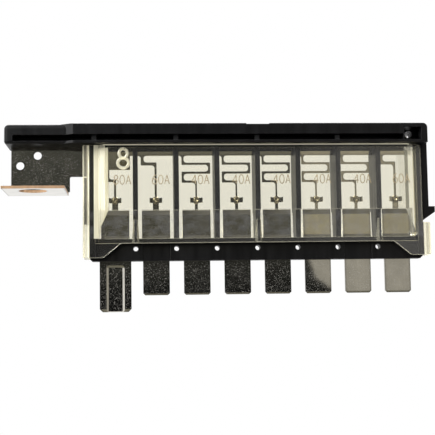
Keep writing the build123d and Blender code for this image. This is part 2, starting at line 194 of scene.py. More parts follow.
def moulded_black_pbt(look):
    """Black PBT polyester, injection moulded: a dark satin skin with a fine spark-eroded grain and faint
    flow streaks, which goes grey where it is seen at a low angle. A painted highlight pales its edges, the
    slot's ribs, the slanted step and the bore's wall. The grain is drawn coarser than the real one, so that it
    shows."""
    material, tree = blank_material("moulded_black_pbt")
    place = add(tree, "ShaderNodeTexCoord").outputs["Object"]
    grain = add(tree, "ShaderNodeTexNoise", {"Vector": place, "Scale": 1 / look.mould_grain, "Detail": 3.0})
    drawn_out = add(tree, "ShaderNodeMapping", {"Vector": place, "Scale": (1.0, 1.0, 0.12)})
    streaks = add(tree, "ShaderNodeTexNoise", {"Vector": drawn_out, "Scale": 1 / look.mould_streak,
                                              "Detail": 2.0})
    skin = add(tree, "ShaderNodeValToRGB", {"Fac": streaks},
               stops=[(0.35, look.black), (0.75, darker(look.black, 1.7))])
    rounded, turned = rounded_edges(tree, look.mould_edge)
    # Painted highlight: a pale line along every edge of the moulding
    painted_edge_line = add(tree, "ShaderNodeMapRange", {"Value": turned, "From Min": 0.99, "From Max": 0.85,
                                                "To Max": 0.045})
    # Painted highlight: a pale colour on the rail's slot ribs, slanted step and bore wall, and along every edge
    painted_highlight = add(tree, "ShaderNodeAttribute", attribute_name="painted_highlight").outputs["Fac"]
    paler = add(tree, "ShaderNodeMath", {0: painted_highlight, 1: painted_edge_line}, operation="MAXIMUM")
    colour = add(tree, "ShaderNodeMix", {0: paler, 6: skin, 7: look.painted_highlight}, data_type="RGBA")
    rough = add(tree, "ShaderNodeMapRange", {"Value": streaks, "From Min": 0.3, "From Max": 0.7,
                                            "To Min": 0.36, "To Max": 0.5})
    bump = add(tree, "ShaderNodeBump", {"Height": grain, "Strength": 0.25, "Distance": 0.02 * MM,
                                       "Normal": rounded})
    shader = add(tree, "ShaderNodeBsdfPrincipled", {
        "Base Color": colour, "Roughness": rough, "IOR": 1.55, "Specular IOR Level": look.mould_shine,
        "Normal": bump})
    add(tree, "ShaderNodeOutputMaterial", {"Surface": shader})
    return material


def tinned_copper_sheet(look):
    """Matte tin plated on copper strip: a soft grey mirror with a sandy scatter of matt specks, which show
    in a dark reflection and vanish in a pale one, and bare copper where the press has sheared the tab. A
    painted reflection lightens matt bands along the pads' foot and near their top. The specks are drawn
    coarser than the real ones, so that they show."""
    material, tree = blank_material("tinned_copper_sheet")
    place = add(tree, "ShaderNodeTexCoord").outputs["Object"]
    where = add(tree, "ShaderNodeSeparateXYZ", {"Vector": place}).outputs
    flattened = add(tree, "ShaderNodeMapping", {"Vector": place, "Scale": (1.0, 1.0, 0.8)})
    grain = add(tree, "ShaderNodeTexNoise", {"Vector": flattened, "Scale": 1 / look.tin_grain, "Detail": 2.0,
                                            "Roughness": 0.7})
    drawn_out = add(tree, "ShaderNodeMapping", {"Vector": place, "Scale": (1.0, 1.0, 0.08)})
    rolling = add(tree, "ShaderNodeTexNoise", {"Vector": drawn_out, "Scale": 1 / look.rolling_line,
                                              "Detail": 3.0})
    tin = tin_colour(tree, look, place, where["X"], rolling)
    copper = add(tree, "ShaderNodeValToRGB", {"Fac": rolling},
                 stops=[(0.3, look.copper), (0.7, darker(look.copper, 0.7))])
    sheared = add(tree, "ShaderNodeAttribute", attribute_name="sheared").outputs["Fac"]
    colour = add(tree, "ShaderNodeMix", {0: sheared, 6: tin, 7: copper}, data_type="RGBA")
    rough = add(tree, "ShaderNodeMapRange", {"Value": grain, "From Min": 0.35, "From Max": 0.7,
                                            "To Min": look.tin_gloss, "To Max": 2 * look.tin_gloss})
    bump = add(tree, "ShaderNodeBump", {"Height": grain, "Strength": look.tin_bump, "Distance": 0.02 * MM})
    metal = add(tree, "ShaderNodeBsdfPrincipled", {"Base Color": colour, "Metallic": 1.0, "Roughness": rough,
                                                  "Normal": bump})
    matt_share = add(tree, "ShaderNodeMath", {0: speck_share(tree, look, place, grain), 1: sheared},
                     operation="MAXIMUM")
    matt_colour = add(tree, "ShaderNodeMix", {0: sheared, 6: darker(look.tin, look.speck_grey), 7: copper},
                      data_type="RGBA")
    matt = add(tree, "ShaderNodeBsdfDiffuse", {"Color": matt_colour})
    mixed = add(tree, "ShaderNodeMixShader", {0: matt_share, 1: metal, 2: matt})
    # Painted reflection: a lighter matt colour in bands on the pads
    painted_reflection = add(tree, "ShaderNodeBsdfDiffuse", {"Color": darker(look.tin, 0.18)})
    with_painted_reflection = add(tree, "ShaderNodeMixShader", {0: painted_reflection_share(tree, look, where["Z"]), 1: mixed, 2: painted_reflection})
    add(tree, "ShaderNodeOutputMaterial", {"Surface": with_painted_reflection})
    return material


def tin_colour(tree, look, place, along, rolling):
    """The plating's colour: rolling lines, clouds that the flowed tin leaves, and darker outlines along the
    edges. The main blade's embossed channel is left out of the outlines, so its lines stay bright."""
    lines = add(tree, "ShaderNodeValToRGB", {"Fac": rolling},
                stops=[(0.3, look.tin), (0.75, darker(look.tin, 0.88))])
    flow = add(tree, "ShaderNodeTexNoise", {"Vector": place, "Scale": 1 / look.tin_flow, "Detail": 2.0})
    cloud = add(tree, "ShaderNodeMapRange", {"Value": flow, "From Min": 0.35, "From Max": 0.65})
    flowed = add(tree, "ShaderNodeMix", {0: cloud, 6: lines, 7: darker(look.tin, 0.84)}, data_type="RGBA")
    turned = rounded_edges(tree, look.tin_edge)[1]
    near_edge = add(tree, "ShaderNodeMapRange", {"Value": turned, "From Min": 0.998, "From Max": 0.95})
    off_channel = add(tree, "ShaderNodeMapRange", {
        "Value": distance_from(tree, along, look.channel_x),
        "From Min": CHANNEL_SIDES[0], "From Max": CHANNEL_SIDES[1]})
    outline = add(tree, "ShaderNodeMath", {0: near_edge, 1: off_channel}, operation="MULTIPLY")
    return add(tree, "ShaderNodeMix", {0: outline, 6: flowed, 7: darker(look.tin, 0.5)}, data_type="RGBA")


def speck_share(tree, look, place, grain):
    """The share of light that the matt specks scatter: the grain's peaks, more of them in some patches, and
    none where the sheet is seen at a low angle."""
    patches = add(tree, "ShaderNodeTexNoise", {"Vector": place, "Scale": 1 / look.tin_patch, "Detail": 2.0})
    limit = add(tree, "ShaderNodeMapRange", {"Value": patches, "From Min": 0.3, "From Max": 0.7,
                                            "To Min": 0.6, "To Max": 0.5})
    specks = add(tree, "ShaderNodeMapRange", {"Value": grain, "From Min": limit, "From Max": 0.68,
                                             "To Max": look.tin_specks})
    facing = add(tree, "ShaderNodeLayerWeight", {"Blend": 0.5}).outputs["Facing"]
    seen = add(tree, "ShaderNodeMapRange", {"Value": facing, "From Min": 0.4, "From Max": 0.8,
                                           "To Min": 1.0, "To Max": 0.0})
    return add(tree, "ShaderNodeMath", {0: specks, 1: seen}, operation="MULTIPLY")


def painted_reflection_share(tree, look, height):
    """The share of the pads' painted reflection, a lighter matt colour: a band along the foot and one near the top.
    """
    on_pad = add(tree, "ShaderNodeMapRange", {"Value": height, "From Min": PAD_BAND[0],
                                             "From Max": PAD_BAND[1]})
    plain, painted_pad_reflection = grey(0.0), grey(look.painted_pad_reflection)
    return add(tree, "ShaderNodeValToRGB", {"Fac": on_pad},
               stops=[(0.0, plain), (0.01, painted_pad_reflection), (0.12, painted_pad_reflection), (0.15, plain), (0.74, plain), (0.77, painted_pad_reflection),
                      (0.93, painted_pad_reflection), (0.94, plain)])


def clear_moulded_cover(look, low, high):
    """Clear polycarbonate, injection moulded and slightly yellow: it shows what is behind it through a faint
    bluish haze and its sloped sides catch the light. Its edges, ears, foot, top strip and bend line get a
    painted cream glow: a cream colour in the haze and a faint emission, though the cover is no lamp. The
    lamps' light, soft light and reflections pass straight through it."""
    material, tree = blank_material("clear_moulded_cover")
    place = add(tree, "ShaderNodeTexCoord").outputs["Object"]
    where = add(tree, "ShaderNodeSeparateXYZ", {"Vector": place}).outputs
    waves = add(tree, "ShaderNodeTexNoise", {"Vector": place, "Scale": 1 / look.cover_wave, "Detail": 1.0})
    bump = add(tree, "ShaderNodeBump", {"Height": waves, "Strength": 0.12, "Distance": 0.05 * MM})
    rough = add(tree, "ShaderNodeMapRange", {"Value": waves, "From Min": 0.3, "From Max": 0.7,
                                            "To Max": 0.01})
    glass = add(tree, "ShaderNodeBsdfPrincipled", {
        "Base Color": look.cover, "Transmission Weight": 1.0, "Roughness": rough, "IOR": 1.49,
        "Normal": bump})
    above_sill = add(tree, "ShaderNodeMapRange", {"Value": where["Z"], "From Min": low.z + SILL_TOP[0],
                                                 "From Max": low.z + SILL_TOP[1]})
    painted_glow = painted_glow_share(tree, look, low, high, place, where, above_sill)
    turned = rounded_edges(tree, look.cover_edge)[1]
    # Painted highlight: a bright line along the cover's edges
    painted_edge_line = add(tree, "ShaderNodeMapRange", {"Value": turned, "From Min": 0.998, "From Max": 0.985,
                                                "To Max": look.painted_edge_line})
    painted_glow_and_line = add(tree, "ShaderNodeMath", {0: painted_glow, 1: painted_edge_line}, operation="MAXIMUM")
    mist = slope_mist(tree, look, place, where["Z"], above_sill)
    pale = add(tree, "ShaderNodeMath", {0: painted_glow_and_line, 1: mist}, operation="MAXIMUM")
    least = add(tree, "ShaderNodeMapRange", {"Value": where["X"], "From Min": low.x, "From Max": high.x,
                                            "To Min": 0.3 * look.cover_haze, "To Max": look.cover_haze})
    haze_and_painted_glow_share = add(tree, "ShaderNodeMapRange", {"Value": pale, "To Min": least, "To Max": 0.85})
    # Painted glow: the haze turns cream where the cover glows
    painted_cream_share = add(tree, "ShaderNodeMapRange", {"Value": painted_glow_and_line, "From Max": 0.15})
    haze_and_painted_glow_colour = add(tree, "ShaderNodeMix", {0: painted_cream_share, 6: linear("#B2B3BC"), 7: linear("#FFFBE2")},
                      data_type="RGBA")
    haze_and_painted_glow = add(tree, "ShaderNodeBsdfDiffuse", {"Color": haze_and_painted_glow_colour})
    hazy = add(tree, "ShaderNodeMixShader", {0: haze_and_painted_glow_share, 1: glass, 2: haze_and_painted_glow})
    # Painted glow: a faint cream emission on the glowing places, though the cover is no lamp
    painted_glow_strength = add(tree, "ShaderNodeMath", {0: painted_glow, 1: look.painted_glow_power}, operation="MULTIPLY")
    painted_glow_emission = add(tree, "ShaderNodeEmission", {"Color": linear("#FFF6D8"), "Strength": painted_glow_strength})
    lit = add(tree, "ShaderNodeAddShader", {0: hazy, 1: painted_glow_emission})
    through = add(tree, "ShaderNodeBsdfTransparent", {"Color": look.cover})
    path = add(tree, "ShaderNodeLightPath").outputs
    reflected = add(tree, "ShaderNodeMath", {0: path["Is Glossy Ray"], 1: path["Is Transmission Ray"]},
                    operation="SUBTRACT")
    soft = add(tree, "ShaderNodeMath", {0: path["Is Diffuse Ray"], 1: reflected}, operation="MAXIMUM")
    straight = add(tree, "ShaderNodeMath", {0: path["Is Shadow Ray"], 1: soft}, operation="MAXIMUM")
    mixed = add(tree, "ShaderNodeMixShader", {0: straight, 1: lit, 2: through})
    add(tree, "ShaderNodeOutputMaterial", {"Surface": mixed})
    return material


def painted_glow_share(tree, look, low, high, place, where, above_sill):
    """How strongly each place on a cover gets the painted cream glow: the marked faces with their streaks,
    the walls of the ears and of the foot, the strip along the top and the line of the bend."""
    glow = add(tree, "ShaderNodeAttribute", attribute_name="painted_edge_glow").outputs["Fac"]
    drawn_out = add(tree, "ShaderNodeMapping", {"Vector": place, "Scale": (1.0, 1.0, 0.04)})
    streaks = add(tree, "ShaderNodeTexNoise", {"Vector": drawn_out, "Scale": 1 / look.cover_streak,
                                              "Detail": 2.0})
    streaked = add(tree, "ShaderNodeMapRange", {"Value": streaks, "From Min": 0.35, "From Max": 0.65,
                                               "To Min": 0.7, "To Max": 1.1})
    marked = add(tree, "ShaderNodeMath", {0: glow, 1: streaked}, operation="MULTIPLY")

    middle, half_length = (low.x + high.x) / 2, (high.x - low.x) / 2
    from_end = add(tree, "ShaderNodeMapRange", {"Value": distance_from(tree, where["X"], middle),
                                               "From Min": half_length, "From Max": half_length - EAR_WIDTH})
    ear = add(tree, "ShaderNodeValToRGB", {"Fac": from_end},
              stops=[(0.08, grey(0.5)), (0.16, grey(0.1)), (0.64, grey(0.1)), (0.7, grey(0.8)),
                     (0.92, grey(0.8)), (0.97, grey(0.0))])
    right_side = add(tree, "ShaderNodeMapRange", {"Value": where["X"], "From Min": middle,
                                                 "From Max": middle + 10 * MM, "To Min": 1.0, "To Max": 0.6})
    ears = add(tree, "ShaderNodeMath", {0: ear, 1: right_side}, operation="MULTIPLY")

    from_left = add(tree, "ShaderNodeMapRange", {"Value": where["X"], "From Min": low.x + FOOT_BAND[0],
                                                "From Max": low.x + FOOT_BAND[1]})
    band = add(tree, "ShaderNodeValToRGB", {"Fac": from_left},
               stops=[(0.12, grey(0.0)), (0.16, grey(0.5)), (0.8, grey(0.5)), (0.84, grey(0.0))])
    foot = add(tree, "ShaderNodeMath", {0: band, 1: above_sill}, operation="MULTIPLY")

    depth = high.y - low.y
    outer = add(tree, "ShaderNodeMapRange", {"Value": distance_from(tree, where["Y"], high.y),
                                            "From Min": depth - OUTER_FACE[0],
                                            "From Max": depth - OUTER_FACE[1]})
    top_strip = add(tree, "ShaderNodeMapRange", {"Value": where["Z"], "From Min": high.z - TOP_STRIP[0],
                                                "From Max": high.z - TOP_STRIP[1], "To Max": 0.9})
    kink_line = add(tree, "ShaderNodeMapRange", {"Value": distance_from(tree, where["Z"], look.kink_level),
                                                "From Min": KINK_LINE[0], "From Max": KINK_LINE[1],
                                                "To Min": 0.15, "To Max": 0.0})
    lines = add(tree, "ShaderNodeMath", {0: top_strip, 1: kink_line}, operation="MAXIMUM")
    front_lines = add(tree, "ShaderNodeMath", {0: lines, 1: outer}, operation="MULTIPLY")

    strongest = marked
    for share in (foot, ears, front_lines):
        strongest = add(tree, "ShaderNodeMath", {0: strongest, 1: share}, operation="MAXIMUM")
    return strongest


def slope_mist(tree, look, place, height, above_sill):
    """The share of light that faint clouds scatter in the domed face's slope, from the sill to the bend."""
    clouds = add(tree, "ShaderNodeTexNoise", {"Vector": place, "Scale": 1 / look.cover_cloud, "Detail": 3.0})
    mist = add(tree, "ShaderNodeMapRange", {"Value": clouds, "From Min": 0.4, "From Max": 0.7,
                                           "To Max": 0.1})
    below_kink = add(tree, "ShaderNodeMapRange", {"Value": height, "From Min": look.kink_level,
                                                 "From Max": look.kink_level - 0.5 * MM})
    on_slope = add(tree, "ShaderNodeMath", {0: below_kink, 1: above_sill}, operation="MULTIPLY")
    return add(tree, "ShaderNodeMath", {0: on_slope, 1: mist}, operation="MULTIPLY")


def cast_tin(look):
    """Tin, cast on the link as a small pellet: bright but dimpled by cooling, with grey oxide in the dips."""
    material, tree = blank_material("cast_tin")
    place = add(tree, "ShaderNodeTexCoord").outputs["Object"]
    dimples = add(tree, "ShaderNodeTexNoise", {"Vector": place, "Scale": 1 / look.pellet_dimple,
                                              "Detail": 3.0})
    colour = add(tree, "ShaderNodeValToRGB", {"Fac": dimples},
                 stops=[(0.35, darker(look.pellet, 0.2)), (0.62, look.pellet)])
    rough = add(tree, "ShaderNodeMapRange", {"Value": dimples, "From Min": 0.3, "From Max": 0.7,
                                            "To Min": 0.45, "To Max": 0.22})
    bump = add(tree, "ShaderNodeBump", {"Height": dimples, "Strength": 0.5, "Distance": 0.06 * MM})
    shader = add(tree, "ShaderNodeBsdfPrincipled", {"Base Color": colour, "Metallic": 1.0,
                                                   "Roughness": rough, "Normal": bump})
    add(tree, "ShaderNodeOutputMaterial", {"Surface": shader})
    return material


def raised_mark(look):
    """A tan colour painted on the raised figures, standing in for the light that a raised figure in the clear cover
    bends.
    """
    material, tree = blank_material("raised_mark")
    place = add(tree, "ShaderNodeTexCoord").outputs["Object"]
    waves = add(tree, "ShaderNodeTexNoise", {"Vector": place, "Scale": 1 / look.pellet_dimple, "Detail": 1.0})
    colour = add(tree, "ShaderNodeValToRGB", {"Fac": waves},
                 stops=[(0.3, linear("#A8997A")), (0.7, linear("#C4B594"))])
    shader = add(tree, "ShaderNodeBsdfPrincipled", {"Base Color": colour, "Roughness": 0.2, "IOR": 1.49,
                                                   "Alpha": 0.8})
    add(tree, "ShaderNodeOutputMaterial", {"Surface": shader})
    return material


def seen_white(tree):
    """Returns a node that is 1 for camera, glossy and transmission rays, which see a white background."""
    path = add(tree, "ShaderNodeLightPath").outputs
    seen = path["Is Camera Ray"]
    for ray in ("Is Glossy Ray", "Is Transmission Ray"):
        seen = add(tree, "ShaderNodeMath", {0: seen, 1: path[ray]}, operation="MAXIMUM")
    return seen


def pale_floor(studio):
    """Matt white board: it keeps a soft shadow and otherwise shows as the white background."""
    material, tree = blank_material("pale_floor")
    board = add(tree, "ShaderNodeBsdfDiffuse", {"Color": grey(0.4)})
    glow = add(tree, "ShaderNodeMath", {0: seen_white(tree), 1: studio.floor_share}, operation="MULTIPLY")
    light = add(tree, "ShaderNodeEmission", {"Color": grey(1.0), "Strength": glow})
    both = add(tree, "ShaderNodeAddShader", {0: board, 1: light})
    add(tree, "ShaderNodeOutputMaterial", {"Surface": both})
    return material


def studio_card(name, stops):
    """A card beside the camera that shows only in shiny things. Its brightness runs through the stops from
    the foot of CARD_BAND to its top."""
    material, tree = blank_material(name)
    place = add(tree, "ShaderNodeTexCoord").outputs["Object"]
    height = add(tree, "ShaderNodeSeparateXYZ", {"Vector": place}).outputs["Z"]
    along = add(tree, "ShaderNodeMapRange", {"Value": height, "From Min": CARD_BAND[0],
                                            "From Max": CARD_BAND[1]})
    colour = add(tree, "ShaderNodeValToRGB", {"Fac": along}, stops=stops)
    glow = add(tree, "ShaderNodeEmission", {"Color": colour})
    add(tree, "ShaderNodeOutputMaterial", {"Surface": glow})
    return material


# Surfaces

def grid_piece(name, points, wrap_around=False, wrap_along=False, close_ends=False):
    """Makes a mesh object of a grid of points, row by row. A wrapped side joins its last line to its first,
    and closed ends get one face each."""
    rows, columns = points.shape[:2]
    index = np.arange(rows * columns).reshape(rows, columns)
    if wrap_around:
        index = np.concatenate([index, index[:, :1]], axis=1)
    if wrap_along:
        index = np.concatenate([index, index[:1]], axis=0)
    quads = np.stack([index[:-1, :-1], index[:-1, 1:], index[1:, 1:], index[1:, :-1]], axis=-1)
    faces = quads.reshape(-1, 4).tolist()
    if close_ends:
        faces.append(np.arange(columns)[::-1].tolist())
        faces.append(((rows - 1) * columns + np.arange(columns)).tolist())
    mesh = bpy.data.meshes.new(name)
    mesh.from_pydata(points.reshape(-1, 3).tolist(), [], faces)
    mesh.validate()
    mesh.shade_smooth()
    piece = bpy.data.objects.new(name, mesh)
    bpy.context.scene.collection.objects.link(piece)
    return piece


def joined(name, pieces):
    """Joins several mesh objects into one that has the given name."""
    with bpy.context.temp_override(active_object=pieces[0], selected_editable_objects=pieces):
        bpy.ops.object.join()
    pieces[0].name = name
    pieces[0].data.name = name
    return pieces[0]


def belongs(piece, slot_name, *nodes):
    """Says what a new piece of the row rides on and hides the parts that it stands for; slot_name, what it is made
    of, is not used.
    """
    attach(piece, "root")
    if nodes:
        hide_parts(*nodes)


def stroke_path(points, closed):
    """Returns evenly spaced places along a drawn stroke: straight steps between its points, by length."""
    points = np.asarray(points, float)
    if closed:
        points = np.vstack([points, points[:1]])
    along = np.concatenate([[0], np.cumsum(np.linalg.norm(np.diff(points, axis=0), axis=1))])
    places = np.linspace(0, along[-1], STROKE_POINTS)
    return np.stack([np.interp(places, along, points[:, k]) for k in (0, 1)], axis=1)


def raised_stroke(path, closed, face_y, width, height):
    """A raised stroke of a mark: an elliptic profile, width across and height high, carried along a path
    in the plane of the cover's face: point = path + width/2 * cos(a) * side - height * sin(a) * Y."""
    if closed:
        path = path[:-1]
        ahead = np.roll(path, -1, axis=0) - np.roll(path, 1, axis=0)
    else:
        ahead = np.gradient(path, axis=0)
    ahead /= np.linalg.norm(ahead, axis=1, keepdims=True)
    side = np.stack([ahead[:, 1], -ahead[:, 0]], axis=1)
    turn = np.linspace(0, 2 * np.pi, STROKE_SIDES, endpoint=False)
    flat = path[:, None, :] + side[:, None, :] * (width / 2 * np.cos(turn))[None, :, None]
    rise = np.broadcast_to(face_y - height * np.sin(turn), flat.shape[:2])
    points = np.stack([flat[..., 0], rise, flat[..., 1]], axis=-1)
    return grid_piece("stroke", points, wrap_around=True, wrap_along=closed, close_ends=not closed)


def figure_strokes(figure):
    """Returns the strokes of a plain figure in a box one wide and one high, each with whether it closes."""
    def oval(level, half_width, half_height):
        turn = np.linspace(0, 2 * np.pi, STROKE_POINTS - 1, endpoint=False)
        return np.stack([0.5 + half_width * np.cos(turn), level + half_height * np.sin(turn)], axis=1), True

    if figure == "0":
        return [oval(0.5, 0.48, 0.5)]
    if figure == "8":
        return [oval(0.76, 0.36, 0.24), oval(0.26, 0.48, 0.26)]
    if figure == "6":
        turn = np.linspace(0, np.pi, 24) / 2
        hook = np.stack([0.85 - 0.83 * np.sin(turn), 1.0 - 0.68 * (1 - np.cos(turn))], axis=1)
        return [(hook, False), oval(0.3, 0.48, 0.3)]
    if figure == "4":
        return [([(0.72, 0.0), (0.72, 1.0), (0.0, 0.32), (1.0, 0.32)], False)]
    return [([(0.0, 0.0), (0.5, 1.0), (1.0, 0.0)], False), ([(0.2, 0.36), (0.8, 0.36)], False)]


def pellet_surface(centre, size):
    """A cast pellet: a squared ellipsoid round the Y line with a dimple in front and behind, point = size/2
    * (ring |cos v|^0.8, -|cos u|^0.7 (1 - 0.4 exp(-(ring/0.35)^2)), ring |sin v|^0.8), ring = |sin u|^0.7,
    each with its sign, and with a slight wave round its rim."""
    u = np.linspace(0, np.pi, 33)[:, None]
    v = np.linspace(0, 2 * np.pi, 40, endpoint=False)[None, :]
    def squared(c, power):
        return np.sign(c) * np.abs(c) ** power
    ring = squared(np.sin(u), 0.7)
    wave = 0.94 + 0.04 * np.sin(3 * v + 1.0) * np.sin(u) + 0.02 * np.sin(5 * v) * np.sin(2 * u)
    x = ring * squared(np.cos(v), 0.8) * wave
    y = -squared(np.cos(u), 0.7) * (1 - 0.4 * np.exp(-(ring / 0.35) ** 2)) * np.ones_like(v)
    z = ring * squared(np.sin(v), 0.8) * wave
    shape = np.stack([x, 0.98 * y, z], axis=-1)
    return np.asarray(centre) + shape * np.asarray(size) / 2


def face_values(mesh, name):
    """Returns a three-number value of each face of a mesh, such as its normal or centre."""
    values = np.zeros(len(mesh.polygons) * 3)
    mesh.polygons.foreach_get(name, values)
    return values.reshape(-1, 3)


def set_face_shares(mesh, name, shares):
    """Stores a share from 0 to 1 on each face of a mesh, for a material to read."""
    attribute = mesh.attributes.new(name, "FLOAT", "FACE")
    attribute.data.foreach_set("value", shares.astype(np.float32))


def mark_painted_highlight_faces(mesh):
    """Marks the rail's faces that get a painted highlight: the ribs in its slot, its slanted step and the
    wall of its bore."""
    (nx, ny, nz), (x, y, z) = face_values(mesh, "normal").T, face_values(mesh, "center").T
    in_rail = (z > RAIL_FOOT) & (ny < -0.8)
    ribs = in_rail & (np.abs(y - RIB_FRONT) < 0.1 * MM)
    step = in_rail & (nx < -0.5) & (x > 0)
    bore = np.hypot(x - BORE_CENTRE[0], z - BORE_CENTRE[1]) < BORE_RADIUS
    set_face_shares(mesh, "painted_highlight", np.select([bore, ribs, step], [1.0, 0.14, 0.02], 0.0))


def mark_sheared_faces(mesh):
    """Marks the faces of the folded tab that the press has cut: its rim and the stud hole's wall."""
    normals, centres = np.abs(face_values(mesh, "normal")), face_values(mesh, "center")
    on_tab = (centres[:, 1] < TAB_REACH) & (np.abs(centres[:, 2]) < TAB_BAND)
    set_face_shares(mesh, "sheared", 0.75 * (on_tab & (normals[:, 2] < 0.5)))


def mark_painted_glow_faces(mesh, low, high):
    """Marks the faces of a cover that get the painted cream glow: its outer rim, the ear's groove, the domed
    face's sloped ends and the gussets' sides. Its flats and inner walls stay clear."""
    (nx, ny, nz), (x, y, z) = face_values(mesh, "normal").T, face_values(mesh, "center").T
    nx, ny = np.abs(nx), np.abs(ny)
    at_end = (x < low.x + RIM_WIDTH) | (x > high.x - RIM_WIDTH)
    rim = (at_end | ((z < low.z + GUSSET_TOP) & (nz < -0.5))) & (ny < 0.3)
    groove = (nx > 0.8) & (ny > 0.4) & (ny < 0.5)
    sloped_end = (nx > 0.4) & (ny > 0.7)
    gusset_side = (nx > 0.9) & (ny > 0.2) & (ny < 0.4)
    faces = [rim, groove, sloped_end & (x < ROW_MIDDLE), sloped_end & (x > ROW_MIDDLE), gusset_side]
    set_face_shares(mesh, "painted_edge_glow", np.select(faces, [0.6, 0.9, 0.4, 0.2, 0.15], 0.0))


def dress(node, material):
    """Gives a node of the frame its material."""
    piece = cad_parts[node]
    piece.data.materials.clear()
    piece.data.materials.append(material)


# Stage

def set_camera(scene, studio):
    """Stands the camera where the photograph was taken from."""
    yaw, pitch, roll = studio.yaw, studio.pitch, studio.roll
    ahead = Vector((math.sin(yaw) * math.cos(pitch), math.cos(yaw) * math.cos(pitch), math.sin(pitch)))
    right = Vector((math.cos(yaw), -math.sin(yaw), 0.0))
    up = right.cross(ahead)
    side = math.cos(roll) * right + math.sin(roll) * up
    top = -math.sin(roll) * right + math.cos(roll) * up
    data = bpy.data.cameras.new("camera")
    data.sensor_width = SENSOR / MM
    data.lens = SENSOR / MM * studio.focal_pixels / IMAGE_PIXELS
    data.clip_start = 10 * MM
    camera = bpy.data.objects.new("camera", data)
    matrix = Matrix((side, top, -ahead)).transposed().to_4x4()
    matrix.translation = Vector(studio.place)
    camera.matrix_world = matrix
    scene.collection.objects.link(camera)
    scene.camera = camera


def set_surroundings(scene, studio):
    """Lights the row evenly from all round and shows white where nothing else is."""
    scene.view_settings.view_transform = "Standard"
    world = bpy.data.worlds.new("white_surroundings")
    world.use_nodes = True
    tree = world.node_tree
    tree.nodes.clear()
    strength = add(tree, "ShaderNodeMapRange", {"Value": seen_white(tree), "To Min": studio.sky})
    shader = add(tree, "ShaderNodeBackground", {"Color": grey(1.0), "Strength": strength})
    add(tree, "ShaderNodeOutputWorld", {"Surface": shader})
    scene.world = world


def add_lamp(name, place, target, size, power):
    """Adds a square soft lamp that faces the target."""
    data = bpy.data.lights.new(name, "AREA")
    data.size = size
    data.energy = power
    lamp = bpy.data.objects.new(name, data)
    lamp.location = place
    lamp.rotation_euler = (target - place).to_track_quat("-Z", "Y").to_euler()
    bpy.context.scene.collection.objects.link(lamp)


def add_floor(studio, floor_z):
    """Adds the white board under the row."""
    across = (-FLOOR_REACH, FLOOR_REACH)
    x, y = np.meshgrid(across, across)
    floor = grid_piece("floor", np.stack([x, y, np.full_like(x, floor_z)], axis=-1))
    floor.data.materials.append(pale_floor(studio))


def add_cards(studio, floor_z):
    """Adds the cards that show in the metal: two dark ones and a grey one behind the camera, of which the
    last two meet along the curve of MEETING so that its reflection crosses the sixth blade, and a bent one
    that stands and lies before the floor, for the bevelled tips."""
    behind = studio.place[1] - CARD_GAP
    height = np.concatenate([[floor_z], np.linspace(*MEETING_BAND, 40), [CARD_TOP]])
    meeting = np.interp(height, *np.transpose(MEETING))
    bend_y = np.array([behind + LOW_CARD_GAP, behind + LOW_CARD_GAP, LOW_CARD_FRONT])
    bend_z = floor_z + np.array([LOW_CARD_TOP, LOW_CARD_LIFT, LOW_CARD_LIFT])
    cards = (("plate_card", CARD_LEFT, PLATE_CARD_RIGHT, behind, height, PLATE_STOPS),
             ("dark_card", PLATE_CARD_RIGHT, meeting, behind, height, DARK_STOPS),
             ("grey_card", meeting, CARD_RIGHT, behind, height, GREY_STOPS),
             ("low_card", CARD_LEFT, CARD_RIGHT, bend_y, bend_z, LOW_STOPS))
    for name, left, right, y, z, stops in cards:
        sides = [np.stack(np.broadcast_arrays(x, y, z), axis=-1) for x in (left, right)]
        card = grid_piece(name, np.stack(sides, axis=1))
        card.data.materials.append(studio_card(name, [(place, linear(code)) for place, code in stops]))
        for ray in ("camera", "diffuse", "shadow", "volume_scatter"):
            setattr(card, "visible_" + ray, False)


# Settings

LENGTH = {"subtype": "DISTANCE", "unit": "LENGTH"}
COLOUR = {"subtype": "COLOR", "size": 4}


class StudioSettings(bpy.types.PropertyGroup):
    place: FloatVectorProperty(name="Camera place", description="Where the camera stands",
                               subtype="TRANSLATION", unit="LENGTH",
                               default=(31.50 * MM, -313.66 * MM, -40.88 * MM))
    yaw: FloatProperty(name="Yaw", description="Turn of the camera to the right", subtype="ANGLE",
                       default=math.radians(4.042))
    pitch: FloatProperty(name="Pitch", description="Upward tilt of the camera", subtype="ANGLE",
                         default=math.radians(5.871))
    roll: FloatProperty(name="Roll", description="Roll of the camera about its own line", subtype="ANGLE",
                        default=math.radians(-0.868))
    focal_pixels: FloatProperty(name="Focal length in pixels", description="For a picture 435 pixels wide",
                                default=1077.4)
    floor_drop: FloatProperty(name="Floor drop", description="How far the floor lies below the blades",
                              default=260 * MM, **LENGTH)
    floor_share: FloatProperty(name="Floor glow", description="Share of the floor's white that isn't lit",
                               default=0.75)
    sky: FloatProperty(name="Soft light", description="Strength of the light from all round", default=0.55)


